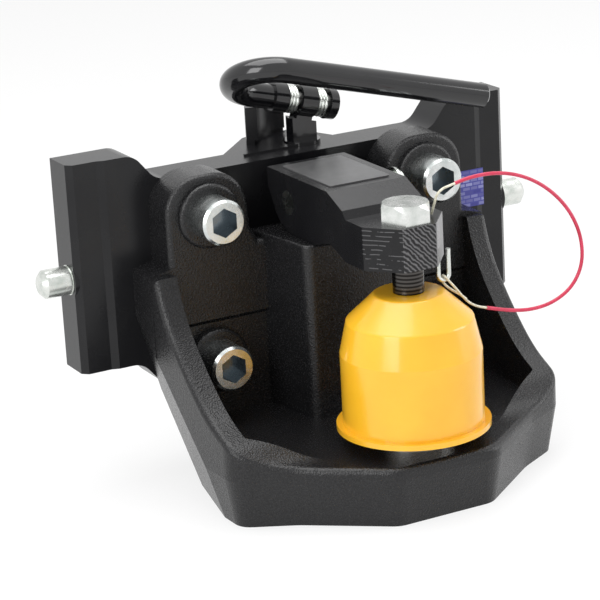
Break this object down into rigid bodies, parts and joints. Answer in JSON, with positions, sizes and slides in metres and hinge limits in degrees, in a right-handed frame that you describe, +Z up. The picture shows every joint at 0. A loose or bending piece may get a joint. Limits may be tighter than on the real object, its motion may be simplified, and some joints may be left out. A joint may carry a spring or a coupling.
{
  "type": "tractor ball hitch",
  "caption": "Tractor ball hitch on a height-adjustable slide, with sprung lever, rack-driven locking pins, cast ball bracket, capped ball and hinged hold-down arm.",
  "frame": {"origin": "on the axis of the locking pins, midway between the guide bars and midway through their thickness", "axes": "+X across the tractor to the right seen from the ball, +Y back towards the tractor, +Z up along the slide"},
  "size_m": [0.369, 0.2544, 0.2708],
  "materials": {
    "black_paint": "satin",
    "gloss_black": "gloss",
    "black_casting": "painted, gritty",
    "zinc": "bright zinc plate",
    "steel": "plain",
    "yellow_plastic": "satin",
    "red_sleeve": "gloss"
  },
  "bodies": {
    "bracket": {"slide_plate": "black_paint", "pin_bushes": "black_paint", "ball_bracket": "black_casting", "bracket_bolts": "zinc", "coupling_ball": "steel", "ball_washer": "zinc", "ball_nut": "zinc", "ball_cap": "yellow_plastic"},
    "lever": {"lever_shaft": "black_paint", "pinion": "steel", "pinion_cross_pin": "steel", "handle_spring": "zinc"},
    "handle": {"handle_bar": "gloss_black", "handle_hinge_pin": "steel", "handle_left_collar": "gloss_black", "handle_right_collar": "gloss_black"},
    "left_pin": {"left_locking_pin": "zinc"},
    "right_pin": {"right_locking_pin": "zinc"},
    "hold_down": {"hold_down_arm": "black_paint", "hold_down_hinge_pin": "zinc", "hinge_ring": "zinc", "hold_down_bolt": "zinc", "type_plate": "black_paint", "lanyard_staple": "zinc", "lanyard": "red_sleeve", "lanyard_upper_end": "steel", "lanyard_lower_end": "steel"}
  },
  "joints": [
    {"name": "handle_turn", "type": "hinge", "parent": "bracket", "child": "lever", "pos_m": [0.018, 0.01, 0.06], "axis": [0, 0, -1], "range_deg": [0, 110]},
    {"name": "handle_lift", "type": "hinge", "parent": "lever", "child": "handle", "pos_m": [0.018, 0.01, 0.0895], "axis": [-0.9659, 0, 0.2588], "range_deg": [0, 30], "stiffness_Nm_per_rad": 0.6, "springref_deg": -34.38},
    {"name": "left_pin_slide", "type": "slide", "parent": "bracket", "child": "left_pin", "axis": [1, 0, 0], "range_m": [0, 0.0203]},
    {"name": "right_pin_slide", "type": "slide", "parent": "bracket", "child": "right_pin", "axis": [-1, 0, 0], "range_m": [0, 0.0203]},
    {"name": "hold_down_lift", "type": "hinge", "parent": "bracket", "child": "hold_down", "pos_m": [0, -0.055, 0.04], "axis": [-1, 0, 0], "range_deg": [0, 48]}
  ],
  "couplings": [
    {"joint": "left_pin_slide", "follows": "handle_turn", "m_per_rad": 0.0105},
    {"joint": "right_pin_slide", "follows": "handle_turn", "m_per_rad": 0.0105}
  ]
}
